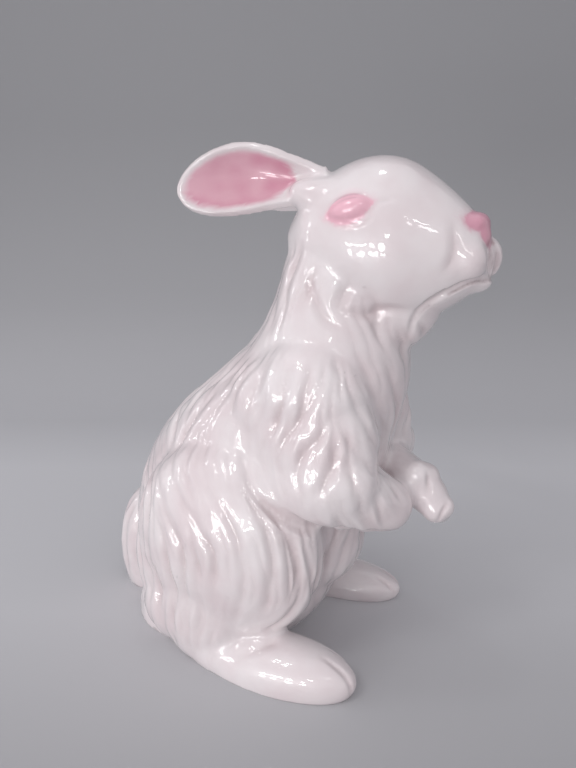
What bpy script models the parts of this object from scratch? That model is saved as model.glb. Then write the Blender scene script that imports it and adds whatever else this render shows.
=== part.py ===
"""A glazed ceramic rabbit that sits up on its haunches with its forepaws raised.

The figurine is one hollow-cast piece. It faces -Y and stands on Z = 0, and its left side is +X.
Round masses are fused into one body and smoothed, the eyes, nose and ears are fused on, folds
and locks of fur are carved along the surface, and the underside is cut flat.
"""
import math

import bmesh
import bpy
import numpy as np
from mathutils import Matrix, Vector
from mathutils.bvhtree import BVHTree
from mathutils.kdtree import KDTree

# The height is the driving size. Every other size and place is a share of it, written in
# millimetres of the figure at its full height.
HEIGHT = 0.336
DRAWN_HEIGHT = 336.0
MM = HEIGHT / DRAWN_HEIGHT
MIDDLE_Y = -10.3              # the middle of the figure's length, which goes over the origin

# Trunk and neck: height, back, front and half width of each level.
TRUNK_LEVELS = [
    (-6, 90, -26, 50),
    (14, 96, -44, 56),
    (42, 102, -58, 58),
    (75, 107, -75, 59),
    (105, 100, -80, 60),
    (135, 85, -90, 60),
    (165, 61, -98, 57),
    (190, 31, -103, 53),
    (212, 6, -103, 48),
    (235, -10, -98, 43),
    (262, -19, -94, 38),
    (296, -29, -88, 32),
]
# Head, from the back of the skull to the lips: length, top, bottom and half width.
HEAD_LEVELS = [
    (-26, 292, 262, 20),
    (-40, 311, 246, 32),
    (-60, 324, 235, 39),
    (-82, 328.5, 228, 41),
    (-100, 324.5, 228, 38.5),
    (-116, 314, 234, 32.5),
    (-129, 303, 241, 27),
    (-138, 294, 248, 21),
    (-144, 286, 252, 15),
    (-147, 277, 257, 8),
]
LOFT_RINGS = 40
LOFT_SIDES = 40

# Round masses: centre, radii and forward pitch in degrees. Side masses are given for the left.
MIDDLE_MASSES = {
    "throat": ((0, -86, 238), (26, 36, 30), 20),
    "chin": ((1, -138, 256), (11, 12, 8), 0),
    "right_lip": ((-12.5, -137, 268), (11.5, 11, 13), 0),
    "left_lip": ((8.5, -141, 269), (11, 12.5, 14.5), 0),
    "tail": ((0, 107, 32), (22, 26, 52), 0),
    "belly": ((0, -22, 76), (42, 55, 48), 0),
    "right_foot": ((-60, -37, 5), (24, 58, 23), 4),
    "left_foot": ((59, -34, 3), (24, 57, 19), 4),
}
SIDE_MASSES = {
    "thigh": ((48, 4, 82), (37, 70, 72), -14),
    "rump": ((32, 38, 58), (42, 48, 58), 0),
    "seat": ((27, 40, 2), (34, 53, 58), 0),
    "hock": ((54, -4, 8), (27, 38, 22), 0),
    "haunch_base": ((47, 36, 30), (30, 37, 35), 0),
    "heel_fur": ((56, 16, 34), (27, 37, 44), 0),
    "shoulder_blade": ((30, -26, 176), (30, 34, 36), 14),
    "shoulder": ((34, -50, 182), (31, 40, 42), 12),
    "upper_arm": ((38, -54, 156), (29, 43, 48), 6),
    "elbow": ((44, -58, 134), (25, 42, 30), 8),
}
# Forearms and paws: points and radii, root to tip.
RIGHT_ARM = [((-40, -66, 130), 27), ((-30, -84, 122), 23), ((-20, -97, 115), 17.5)]
LEFT_ARM = [((40, -66, 128), 24), ((22, -88, 124), 18), ((4, -108, 125), 14.5), ((2, -119, 117), 13.5)]
LEFT_PAW = [((-1, -112, 131), 10.5), ((3, -117, 129.5), 9.5), ((-3, -125, 110), 9.5), ((4, -126, 107), 9.5),
            ((-1, -130, 112), 8)]
BALLS_PER_LINK = 6

# Eyes and nose, fused on after the body is smoothed. The muzzle is turned a little to its right.
EYE = ((35.5, -73.5, 296), (7.5, 13.5, 8), 14)
NOSE = [((-2, -138, 288), (13, 8.5, 7.5), 0), ((-8, -133.5, 287), (9, 8.5, 7), 0), ((-3.5, -141, 281), (8.5, 6.5, 9.5), 0)]

# Ears: cupped leaves that are laid back level with the head, the left one narrower and lower at
# its root. Each has its root and its tip. Its stalk is given outwards from the root.
EARS = {-1: ((-19, -54, 309), (-49, 33, 308)), 1: ((19, -54, 304), (47, 33, 314))}
EAR_STALK = [((-3, -6, -7), 15), ((2, 8, -5), 12), ((4.5, 15, -3), 8.5)]
EAR_HALF_WIDTH = {-1: 21.5, 1: 18.5}
EAR_ROOT_HALF_WIDTH = 10.5
EAR_ARCH = 7.0                # how far the middle of the ear rises above the line from root to tip
EAR_WIDEST = 0.62             # share of the length from the root
EAR_UPPER_CUT = 0.16          # share of its half width that the upper edge loses towards the tip
EAR_CUP = 9.0
EAR_CUP_START = 0.15          # where on its curve the hollow begins at the root
EAR_TIP_POWER = 2.1           # 2 would make the outer end an ellipse
EAR_TIP_WIDTH = 0.14          # share of the half width that is left at the very tip
EAR_THICKNESS = 6.5
EAR_COLUMNS = 28
EAR_ROWS = 16

# Resolution of the fused surface and of the finished solid.
VOXEL = 2.0
BODY_SMOOTHING = 9
DETAIL_SMOOTHING = 4
CARVING_SMOOTHING = 2
TRIANGLES = 9900

# Locks of fur: they lie along these strokes, from root to tip, on each side of the figure.
FUR_STROKES = {
    "spine": [(0, -20, 300), (0, -8, 250), (0, 20, 205), (0, 60, 170)],
    "lower_back": [(0, 60, 170), (0, 98, 118), (0, 107, 84)],
    "tail_ridge": [(0, 118, 78), (0, 132, 48), (0, 130, 10)],
    "tail_side": [(13, 110, 76), (19, 118, 46), (18, 116, 10)],
    "rump": [(20, 80, 140), (50, 72, 110), (66, 66, 60), (58, 60, 10)],
    "nape": [(34, -45, 282), (30, -35, 250), (41, -33, 226)],
    "neck": [(37, -57, 267), (39, -47, 240), (46, -46, 221)],
    "withers": [(42, -32, 223), (54, -27, 203), (59, -18, 178), (58, -14, 155)],
    "upper_back": [(39, -20, 215), (48, 3, 183), (51, 27, 150)],
    "flank": [(39, -7, 203), (47, 33, 158), (57, 46, 135), (71, 47, 111)],
    "shoulder_back": [(46, -48, 222), (62, -42, 180), (60, -29, 145), (64, -38, 130)],
    "shoulder": [(45, -59, 222), (63, -58, 185), (63, -43, 151), (68, -52, 128)],
    "shoulder_crest": [(58, -65, 199), (61, -61, 187), (64, -52, 172), (65, -46, 158)],
    "shoulder_front": [(56, -72, 183), (61, -70, 172), (65, -63, 163), (67, -56, 150), (65, -62, 122)],
    "upper_arm": [(58, -78, 176), (61, -76, 153), (66, -70, 132), (62, -74, 119)],
    "forearm": [(57, -76, 182), (56, -83, 167), (53, -90, 157), (44, -97, 144), (38, -106, 126)],
    "chest_side": [(48, -78, 201), (45, -92, 170), (25, -101, 142)],
    "chest": [(36, -76, 222), (34, -87, 200), (28, -94, 180), (18, -98, 160), (14, -98, 141)],
    "chest_middle": [(25, -91, 215), (18, -97, 194), (6, -100, 172), (4, -98, 143)],
    "throat": [(22, -99, 230), (12, -101, 217), (3, -101, 200)],
    "haunch_back": [(36, 66, 136), (67, 53, 116), (74, 49, 70), (73, 44, 42), (62, 36, 8)],
    "haunch_far": [(36, 60, 143), (64, 46, 127), (78, 32, 109), (83, 19, 91), (81, 17, 59), (80, 18, 30), (74, 16, 6)],
    "haunch": [(42, 41, 152), (63, 36, 135), (76, 22, 122), (82, 5, 106), (84, -6, 90), (82, -5, 58), (80, 2, 24)],
    "haunch_middle": [(50, 17, 158), (66, 10, 141), (76, -6, 124), (80, -21, 105), (80, -26, 80), (75, -8, 21)],
    "haunch_side": [(59, -5, 151), (70, -19, 134), (73, -36, 115), (74, -43, 94), (74, -40, 64), (71, -19, 24)],
    "haunch_edge": [(67, -24, 130), (66, -39, 116), (69, -50, 100), (69, -53, 77), (67, -47, 52), (70, -28, 24)],
    "haunch_front": [(68, -33, 124), (64, -54, 88), (66, -50, 55), (73, -26, 23)],
    "belly_side": [(60, -57, 104), (53, -61, 63), (25, -45, 26)],
    "belly": [(14, -76, 100), (20, -68, 69), (18, -60, 40)],
}
LOCK_SPACING = 12.0
LOCK_LENGTH = 120.0
LOCK_SHORTEST = 0.3           # least share of the length that a line runs to each side
LOCK_SPREAD = 0.4             # and how much longer than that it may be
LOCK_HALF_WIDTH = 6.0
LOCK_DEPTH = 3.6
LOCK_TAPER = 0.85             # a low power keeps a valley deep until close to its ends
VALLEY_POWER = 1.6            # a high power makes a narrow floor and round shoulders
LOCK_STEP = 2.5
LOCK_GAP = 0.45               # share of the spacing at which a line stops short of another
LOCK_POINTS = 4               # a shorter line is left out
LOCK_SEED = 5
GOLDEN_SHARE = 0.618          # spreads the lengths of neighbouring lines
LOCK_WAVE = 0.22              # radians that a lock swings to each side
LOCK_WAVE_LENGTH = 46.0
LOCK_WAVE_LEAN = 0.7           # share of the length along the figure in a lock's swing
STROKE_REACH = 10.0

# The glaze stays smooth near these places: centre and radius in which no fur is carved.
BARE_SPOTS = [
    ((0, -112, 288), 52), ((20, -80, 296), 36), ((24, -46, 306), 24), ((42, 10, 310), 44),
    ((58, -54, 8), 40), ((70, -18, 2), 16), ((0, -122, 116), 26), ((-16, -106, 108), 14),
    ((44, -57, 226), 12),
]
BARE_EDGE = 14.0
BARE_SHARE = 0.2              # locks stop where less of the fur than this is left

# Folds: a path, its half width and its depth. The left paw alone has its own, and the others
# are on both sides of the figure, with their paths given for the left.
FOLDS = {
    "philtrum": ([(-2, -147, 276), (-3, -150, 270), (-3, -150, 260)], 3.0, 2.4),
    "mouth": ([(0, -149, 258), (12, -146, 257), (20, -134, 252), (22, -122, 244), (20, -110, 234), (12, -104, 220)],
              3.4, 3.2),
    "cheek": ([(38, -48, 258), (40, -56, 243), (40, -62, 234), (37, -72, 229)], 5.5, 2.6),
    "jaw": ([(39, -70, 240), (31, -84, 237), (26, -98, 240), (20, -108, 239)], 5.5, 2.2),
    "whisker_pad": ([(22, -128, 290), (25, -131, 279), (26, -130, 268), (27, -124, 260)], 6.0, 1.6),
    "lower_lid": ([(38, -61, 289), (41, -69, 288), (41, -79, 287), (37, -89, 292)], 2.6, 1.3),
    "arm": ([(59, -14, 158), (64, -20, 142), (68, -28, 128), (64, -44, 115), (54, -64, 107), (44, -84, 105),
             (26, -104, 101)], 6.5, 4.6),
    "thigh": ([(60, -46, 116), (66, -54, 92), (62, -57, 66), (62, -48, 45), (70, -34, 26), (79, -14, 8)], 6.5, 2.8),
    "belly_side": ([(50, -64, 106), (50, -68, 84), (48, -66, 62), (36, -56, 36)], 6.0, 2.4),
}
TOE_FOLDS = {
    "inner_toe": ([(48, -94, 2), (48, -86, 18), (50, -72, 26)], 3.0, 1.6),
    "outer_toe": ([(64, -94, 2), (64, -86, 18), (63, -72, 26)], 3.0, 1.6),
}
PAW_FOLDS = {
    "toe": ([(-5, -134, 119), (-9, -131, 112), (-8, -127, 104)], 2.4, 1.8),
    "paw_back": ([(-7, -121, 138), (-8, -122, 131), (-11, -121, 122)], 3.2, 1.4),
}
FOLD_STEP = 1.5

GLAZE = ("glazed_ceramic", (0.86, 0.80, 0.80, 1.0), 0.08)


def clear_scene():
    for item in list(bpy.data.objects):
        bpy.data.objects.remove(item, do_unlink=True)


def glaze_material():
    name, colour, roughness = GLAZE
    material = bpy.data.materials.new(name)
    material.use_nodes = True
    shader = material.node_tree.nodes["Principled BSDF"]
    shader.inputs["Base Color"].default_value = colour
    shader.inputs["Roughness"].default_value = roughness
    shader.inputs["Metallic"].default_value = 0.0
    return material


def ellipsoid(centre, radii, pitch, side=1):
    """A UV sphere stretched to the radii. A positive pitch lifts its front end."""
    bpy.ops.mesh.primitive_uv_sphere_add(segments=32, ring_count=20, radius=1.0)
    ball = bpy.context.object
    turn = Matrix.Rotation(-math.radians(pitch), 4, "X")
    size = Matrix.Diagonal((*radii, 1.0))
    ball.data.transform(Matrix.Translation((centre[0] * side, *centre[1:])) @ turn @ size)
    return ball


def limb(points, side=1):
    """A tapering row of balls through points that each have a radius."""
    balls = []
    for (start, start_radius), (end, end_radius) in zip(points, points[1:]):
        for step in range(BALLS_PER_LINK + 1):
            share = step / BALLS_PER_LINK
            centre = Vector(start).lerp(Vector(end), share)
            radius = start_radius + (end_radius - start_radius) * share
            balls.append(ellipsoid(tuple(centre), (radius,) * 3, 0, side))
    return balls


def loft(name, levels, upright):
    """A skin through a row of ellipses, stacked up the figure or set one before the other."""
    levels = np.array(levels, float)
    levels = levels[np.argsort(levels[:, 0])]
    places = np.linspace(levels[0, 0], levels[-1, 0], LOFT_RINGS)
    high, low, half = (smooth_through(levels[:, 0], levels[:, n], places) for n in (1, 2, 3))
    mesh = bmesh.new()
    rings = []
    for place, top, bottom, half_width in zip(places, high, low, half):
        middle, half_depth = (top + bottom) / 2, (top - bottom) / 2
        ring = []
        for number in range(LOFT_SIDES):
            angle = 2 * math.pi * number / LOFT_SIDES
            x, depth = half_width * math.cos(angle), middle + half_depth * math.sin(angle)
            ring.append(mesh.verts.new((x, depth, place) if upright else (x, place, depth)))
        rings.append(ring)
    for lower, upper in zip(rings, rings[1:]):
        for number in range(LOFT_SIDES):
            after = (number + 1) % LOFT_SIDES
            mesh.faces.new((lower[number], lower[after], upper[after], upper[number]))
    mesh.faces.new(list(reversed(rings[0])))
    mesh.faces.new(rings[-1])
    bmesh.ops.recalc_face_normals(mesh, faces=mesh.faces[:])
    return mesh_object(name, mesh)


def smooth_through(places, values, wanted):
    """A cubic curve through the values, with each slope taken from the two neighbours."""
    slopes = np.gradient(values, places)
    cell = np.clip(np.searchsorted(places, wanted) - 1, 0, len(places) - 2)
    width = places[cell + 1] - places[cell]
    t = (wanted - places[cell]) / width
    start = (1 + 2 * t) * (1 - t) ** 2 * values[cell] + t * (1 - t) ** 2 * width * slopes[cell]
    end = t * t * (3 - 2 * t) * values[cell + 1] + t * t * (t - 1) * width * slopes[cell + 1]
    return start + end


def ear(side):
    """A cupped leaf, narrow at its root and round at its tip, given a wall with Solidify."""
    root, along, across, inward = ear_axes(side)
    bpy.ops.mesh.primitive_grid_add(x_subdivisions=EAR_COLUMNS, y_subdivisions=EAR_ROWS, size=2.0)
    leaf = bpy.context.object
    for vertex in leaf.data.vertices:
        share, edge = (vertex.co.x + 1) / 2, vertex.co.y
        half_width = ear_half_width(share, side) * (1 - EAR_UPPER_CUT * share * max(edge, 0.0))
        rise = EAR_ARCH * math.sin(math.pi * share) + half_width * edge
        vertex.co = root + along * share + across * rise + inward * ear_cup(share, edge)
    wall = leaf.modifiers.new("wall", "SOLIDIFY")
    wall.thickness = EAR_THICKNESS
    wall.offset = 0.0
    return apply_modifiers(leaf)


def ear_stalk(side):
    """The tapering root that joins the ear to the head."""
    root = EARS[side][0]
    return limb([((root[0] + x * side, root[1] + y, root[2] + z), radius) for (x, y, z), radius in EAR_STALK])


def ear_axes(side):
    """The ear's root, its way to the tip, its upward way, and the way from its hollow to its back."""
    root, tip = (Vector(end) for end in EARS[side])
    along = tip - root
    across = Vector((0, 0, 1))
    return root, along, across, along.cross(across).normalized() * -side


def ear_cup(share, edge):
    """How far the leaf is hollowed, deepest along its middle and shallow at its root and tip."""
    return EAR_CUP * (1 - edge * edge) * math.sin(math.pi * (EAR_CUP_START + (1 - EAR_CUP_START) * share))


def ear_half_width(share, side):
    if share < EAR_WIDEST:
        rise = share / EAR_WIDEST
        gain = EAR_HALF_WIDTH[side] - EAR_ROOT_HALF_WIDTH
        return EAR_ROOT_HALF_WIDTH + gain * rise * rise * (3 - 2 * rise)
    fall = (share - EAR_WIDEST) / (1 - EAR_WIDEST)
    return EAR_HALF_WIDTH[side] * max(math.sqrt(1 - fall ** EAR_TIP_POWER), EAR_TIP_WIDTH)


def mesh_object(name, mesh):
    data = bpy.data.meshes.new(name)
    mesh.to_mesh(data)
    mesh.free()
    item = bpy.data.objects.new(name, data)
    bpy.context.scene.collection.objects.link(item)
    return item


def apply_modifiers(item):
    """Replaces the object's mesh with the mesh that its modifiers make."""
    bpy.context.view_layer.update()
    shape = item.evaluated_get(bpy.context.evaluated_depsgraph_get())
    data = bpy.data.meshes.new_from_object(shape)
    item.modifiers.clear()
    item.data = data
    return item


def fuse(items, smoothing):
    """Joins overlapping solids into one skin and rounds the creases between them."""
    mesh = bmesh.new()
    for item in items:
        mesh.from_mesh(item.data)
        bpy.data.objects.remove(item, do_unlink=True)
    body = mesh_object("body", mesh)
    skin = body.modifiers.new("skin", "REMESH")
    skin.mode = "VOXEL"
    skin.voxel_size = VOXEL
    return soften(apply_modifiers(body), smoothing)


def soften(item, iterations):
    """Draws each point of the surface towards its neighbours, some way each time."""
    rounding = item.modifiers.new("rounding", "SMOOTH")
    rounding.factor = 0.5
    rounding.iterations = round(iterations)
    return apply_modifiers(item)


def whole_figure():
    masses = [loft("trunk", TRUNK_LEVELS, True), loft("head", HEAD_LEVELS, False)]
    masses += [ellipsoid(*mass) for mass in MIDDLE_MASSES.values()]
    for side in (-1, 1):
        masses += [ellipsoid(*mass, side) for mass in SIDE_MASSES.values()]
        masses += ear_stalk(side)
    masses += limb(RIGHT_ARM) + limb(LEFT_ARM)
    masses += [ellipsoid(centre, (radius,) * 3, 0) for centre, radius in LEFT_PAW]
    body = fuse(masses, BODY_SMOOTHING)
    details = [body] + [ellipsoid(*mass) for mass in NOSE]
    for side in (-1, 1):
        details += [ellipsoid(*EYE, side), ear(side)]
    return fuse(details, DETAIL_SMOOTHING)


def curve(points, step):
    """Points about a step apart along a smooth curve through the given points."""
    points = np.array(points, float)
    lengths = np.concatenate(([0.0], np.cumsum(np.linalg.norm(np.diff(points, axis=0), axis=1))))
    wanted = np.linspace(0, lengths[-1], max(int(lengths[-1] / step), 1) + 1)
    return np.stack([smooth_through(lengths, points[:, n], wanted) for n in range(3)], axis=1)


def polyline(points, step):
    """Points about a step apart along the line through the given points."""
    samples = []
    for start, end in zip(points, points[1:]):
        start, end = np.array(start, float), np.array(end, float)
        count = max(int(np.linalg.norm(end - start) / step), 1)
        samples += [start + (end - start) * n / count for n in range(count)]
    samples.append(np.array(points[-1], float))
    return np.array(samples)


class FurFlow:
    """The way that the fur lies at each point of the surface."""

    def __init__(self, strokes):
        self.places, self.ways = [], []
        for stroke in strokes.values():
            points = curve(stroke, STROKE_REACH / 3)
            ways = np.gradient(points, axis=0)
            self.places += list(points)
            self.ways += list(ways / np.linalg.norm(ways, axis=1)[:, None])
        self.places, self.ways = np.array(self.places), np.array(self.ways)

    def way(self, point, normal):
        side = -1.0 if point[0] < 0 else 1.0
        mirrored = np.array((abs(point[0]), point[1], point[2]))
        distance = np.linalg.norm(self.places - mirrored, axis=1)
        weight = np.exp(-((distance - distance.min()) / STROKE_REACH))
        lie = (self.ways * weight[:, None]).sum(axis=0)
        lie[0] *= side
        lie = Vector(lie)
        lie -= normal * lie.dot(normal)
        return lie.normalized()


def fur_share(point):
    """1 where the fur is carved in full, falling to 0 on the smooth places and at the base."""
    share = min(max(point[2] / BARE_EDGE, 0.0), 1.0)
    for centre, radius in BARE_SPOTS:
        across = abs(point[0]) if centre[0] > 0 else point[0]
        gap = math.dist((across, point[1], point[2]), centre) - radius
        share = min(share, min(max(gap / BARE_EDGE, 0.0), 1.0))
    return share


def surface_tree(mesh):
    return BVHTree.FromPolygons([v.co for v in mesh.vertices], [p.vertices for p in mesh.polygons])


def trace(surface, flow, start, normal, length, sense):
    """Follows the fur from a point, with a slow swing from side to side."""
    path, place, lie, gone = [], Vector(start), normal, 0.0
    while gone < length:
        way = flow.way(place, lie) * sense
        swing = LOCK_WAVE * math.sin(2 * math.pi * (place.z + LOCK_WAVE_LEAN * place.y) / LOCK_WAVE_LENGTH)
        way.rotate(Matrix.Rotation(swing * sense, 3, lie))
        place, lie, _, _ = surface.find_nearest(place + way * LOCK_STEP)
        gone += LOCK_STEP
        path.append((place.copy(), lie.copy()))
    return path


def locks(mesh, strokes, spacing, length, seed):
    """Lines of the valleys between locks: the strokes, and lines evenly spaced between them."""
    surface, flow = surface_tree(mesh), FurFlow(FUR_STROKES)
    order = np.random.default_rng(seed).permutation(len(mesh.vertices))
    cells, lines = {}, []

    def keep(line):
        for place in line:
            cell = tuple(int(math.floor(value / spacing)) for value in place)
            cells.setdefault(cell, []).append(place)
        if len(line) > LOCK_POINTS:
            lines.append(line)

    def near(point, reach):
        cell = [int(math.floor(value / spacing)) for value in point]
        for x in (-1, 0, 1):
            for y in (-1, 0, 1):
                for z in (-1, 0, 1):
                    for other in cells.get((cell[0] + x, cell[1] + y, cell[2] + z), ()):
                        if (other - point).length < reach:
                            return True
        return False

    for line in stroke_lines(surface, strokes):
        keep(line)
    for number in order:
        vertex = mesh.vertices[int(number)]
        start = vertex.co.copy()
        if fur_share(start) < BARE_SHARE or near(start, spacing):
            continue
        line = [start]
        for sense in (-1, 1):
            half = length * (LOCK_SHORTEST + LOCK_SPREAD * ((int(number) * GOLDEN_SHARE) % 1.0))
            for place, _ in trace(surface, flow, start, vertex.normal, half, sense):
                if fur_share(place) < BARE_SHARE or near(place, spacing * LOCK_GAP):
                    break
                if sense < 0:
                    line.insert(0, place)
                else:
                    line.append(place)
        keep(line)
    return lines


def stroke_lines(surface, strokes):
    """The strokes themselves, laid on both sides of the figure."""
    lines = []
    for stroke in strokes.values():
        for side in (-1, 1):
            points = curve([(x * side, y, z) for x, y, z in stroke], LOCK_STEP)
            line = [surface.find_nearest(Vector(point))[0] for point in points]
            lines.append([place for place in line if fur_share(place) > BARE_SHARE])
    return lines


def valley_points(lines, step):
    """Points along each line, with a strength that fades to nothing at both ends."""
    places, strengths = [], []
    for line in lines:
        points = polyline([tuple(place) for place in line], step)
        for n, point in enumerate(points):
            places.append(point)
            strengths.append(math.sin(math.pi * (n + 0.5) / len(points)) ** LOCK_TAPER)
    return places, strengths


def carve(mesh, places, strengths, half_width, depth, share):
    """Sinks the surface into valleys with sharp floors and round shoulders."""
    tree = KDTree(len(places))
    for number, place in enumerate(places):
        tree.insert(place, number)
    tree.balance()
    normals = [vertex.normal.copy() for vertex in mesh.vertices]
    for vertex, normal in zip(mesh.vertices, normals):
        found = tree.find_range(vertex.co, half_width)
        if not found:
            continue
        sink = max(strengths[number] * (1 - gap / half_width) ** VALLEY_POWER for _, number, gap in found)
        vertex.co -= normal * depth * sink * share(vertex.co)


def carve_folds(mesh, folds, side):
    for path, half_width, depth in folds.values():
        surface = surface_tree(mesh)
        path = curve([(x * side, y, z) for x, y, z in path], FOLD_STEP)
        places, strengths = valley_points([path], FOLD_STEP)
        places = [surface.find_nearest(place)[0] for place in places]
        carve(mesh, places, strengths, half_width, depth, lambda point: 1.0)


def carve_fur(mesh):
    lines = locks(mesh, FUR_STROKES, LOCK_SPACING, LOCK_LENGTH, LOCK_SEED)
    places, strengths = valley_points(lines, LOCK_STEP)
    carve(mesh, places, strengths, LOCK_HALF_WIDTH, LOCK_DEPTH, fur_share)


def reduce_triangles(item):
    item.data.calc_loop_triangles()
    fewer = item.modifiers.new("fewer", "DECIMATE")
    fewer.ratio = min(TRIANGLES / len(item.data.loop_triangles), 1.0)
    return apply_modifiers(item)


def cut_base(item):
    """Cuts the figure off flat at Z = 0 and closes the cut."""
    mesh = bmesh.new()
    mesh.from_mesh(item.data)
    parts = mesh.verts[:] + mesh.edges[:] + mesh.faces[:]
    cut = bmesh.ops.bisect_plane(mesh, geom=parts, dist=1e-4, plane_co=(0, 0, 0), plane_no=(0, 0, 1), clear_inner=True)
    rim = [edge for edge in cut["geom_cut"] if isinstance(edge, bmesh.types.BMEdge)]
    bmesh.ops.holes_fill(mesh, edges=rim, sides=0)
    bmesh.ops.triangulate(mesh, faces=mesh.faces[:])
    bmesh.ops.recalc_face_normals(mesh, faces=mesh.faces[:])
    mesh.to_mesh(item.data)
    mesh.free()


def main():
    clear_scene()
    rabbit = whole_figure()
    for side in (-1, 1):
        carve_folds(rabbit.data, {**FOLDS, **TOE_FOLDS}, side)
    carve_folds(rabbit.data, PAW_FOLDS, 1)
    carve_fur(rabbit.data)
    rabbit = reduce_triangles(soften(rabbit, CARVING_SMOOTHING))
    cut_base(rabbit)
    rabbit.data.transform(Matrix.Scale(MM, 4) @ Matrix.Translation((0, -MIDDLE_Y, 0)))
    rabbit.name = "rabbit"
    rabbit.data.name = "rabbit"
    rabbit.data.materials.clear()
    rabbit.data.materials.append(glaze_material())
    rabbit.data.shade_smooth()
    collection = bpy.data.collections.new("ceramic_rabbit")
    bpy.context.scene.collection.children.link(collection)
    collection.objects.link(rabbit)
    bpy.context.scene.collection.objects.unlink(rabbit)


main()
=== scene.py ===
"""The looks of a glazed ceramic rabbit: glossy white glaze, pink ears, eyes and nose, carved fur.

The figurine is rebuilt finer than its CAD solid, with the same masses, folds and main locks of
fur. Fine strands, lids, lips, toes and the soft swells of the glaze are added to that surface.
"""

import math

import bmesh
import bpy
import numpy as np
from mathutils import Matrix, Vector, noise
from mathutils.bvhtree import BVHTree
from mathutils.kdtree import KDTree


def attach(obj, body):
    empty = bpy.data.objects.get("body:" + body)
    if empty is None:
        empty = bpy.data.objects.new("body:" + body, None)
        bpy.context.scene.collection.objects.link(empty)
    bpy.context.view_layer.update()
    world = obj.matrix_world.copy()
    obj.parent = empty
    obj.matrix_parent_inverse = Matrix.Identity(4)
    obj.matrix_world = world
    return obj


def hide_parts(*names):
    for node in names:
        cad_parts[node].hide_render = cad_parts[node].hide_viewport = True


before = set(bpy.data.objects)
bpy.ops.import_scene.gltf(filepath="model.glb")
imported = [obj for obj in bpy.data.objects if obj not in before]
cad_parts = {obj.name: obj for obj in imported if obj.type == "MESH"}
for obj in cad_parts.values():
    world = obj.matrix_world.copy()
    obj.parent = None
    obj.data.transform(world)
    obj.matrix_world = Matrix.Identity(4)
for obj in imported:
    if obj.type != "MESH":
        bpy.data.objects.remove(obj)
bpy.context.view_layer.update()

# The figure is drawn in millimetres at its full height, and placed as the CAD solid is.
HEIGHT = 0.336
DRAWN_HEIGHT = 336.0
MM = HEIGHT / DRAWN_HEIGHT
MIDDLE_Y = -10.3              # the middle of the figure's length, which goes over the origin

# Trunk and neck: height, back, front and half width of each level.
TRUNK_LEVELS = [
    (-6, 90, -26, 50),
    (14, 96, -44, 56),
    (42, 102, -58, 58),
    (75, 107, -75, 59),
    (105, 100, -80, 60),
    (135, 85, -90, 60),
    (165, 61, -98, 57),
    (190, 31, -103, 53),
    (212, 6, -103, 48),
    (235, -10, -98, 43),
    (262, -19, -94, 38),
    (296, -29, -88, 32),
]
# Head, from the back of the skull to the lips: length, top, bottom and half width.
HEAD_LEVELS = [
    (-26, 292, 262, 20),
    (-40, 311, 246, 32),
    (-60, 324, 235, 39),
    (-82, 328.5, 228, 41),
    (-100, 324.5, 228, 38.5),
    (-116, 314, 234, 32.5),
    (-129, 303, 241, 27),
    (-138, 294, 248, 21),
    (-144, 286, 252, 15),
    (-147, 277, 257, 8),
]
LOFT_RINGS = 40
LOFT_SIDES = 40

# Round masses: centre, radii and forward pitch in degrees. Side masses are given for the left.
MIDDLE_MASSES = {
    "throat": ((0, -86, 238), (26, 36, 30), 20),
    "chin": ((1, -138, 256), (11, 12, 8), 0),
    "right_lip": ((-12.5, -137, 268), (11.5, 11, 13), 0),
    "left_lip": ((8.5, -141, 269), (11, 12.5, 14.5), 0),
    "tail": ((0, 107, 32), (22, 26, 52), 0),
    "belly": ((0, -22, 76), (42, 55, 48), 0),
    "right_foot": ((-60, -37, 5), (24, 58, 23), 4),
    "left_foot": ((59, -34, 3), (24, 57, 19), 4),
}
SIDE_MASSES = {
    "thigh": ((48, 4, 82), (37, 70, 72), -14),
    "rump": ((32, 38, 58), (42, 48, 58), 0),
    "seat": ((27, 40, 2), (34, 53, 58), 0),
    "hock": ((54, -4, 8), (27, 38, 22), 0),
    "haunch_base": ((47, 36, 30), (30, 37, 35), 0),
    "heel_fur": ((56, 16, 34), (27, 37, 44), 0),
    "shoulder_blade": ((30, -26, 176), (30, 34, 36), 14),
    "shoulder": ((34, -50, 182), (31, 40, 42), 12),
    "upper_arm": ((38, -54, 156), (29, 43, 48), 6),
    "elbow": ((44, -58, 134), (25, 42, 30), 8),
}
# Forearms and paws: points and radii, root to tip.
RIGHT_ARM = [((-40, -66, 130), 27), ((-30, -84, 122), 23), ((-20, -97, 115), 17.5)]
LEFT_ARM = [((40, -66, 128), 24), ((22, -88, 124), 18), ((4, -108, 125), 14.5), ((2, -119, 117), 13.5)]
LEFT_PAW = [
    ((-1, -112, 131), 10.5), ((3, -117, 129.5), 9.5), ((-3, -125, 110), 9.5), ((4, -126, 107), 9.5),
    ((-1, -130, 112), 8),
]
BALLS_PER_LINK = 6
BALL_SEGMENTS = 32
BALL_RINGS = 20

# Eyes and nose, fused on after the body is smoothed.
EYE = ((35.5, -73.5, 296), (7.5, 13.5, 8), 14)
NOSE = [
    ((-2, -138, 288), (13, 8.5, 7.5), 0),
    ((-8, -133.5, 287), (9, 8.5, 7), 0),
    ((-3.5, -141, 281), (8.5, 6.5, 9.5), 0),
]

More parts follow.
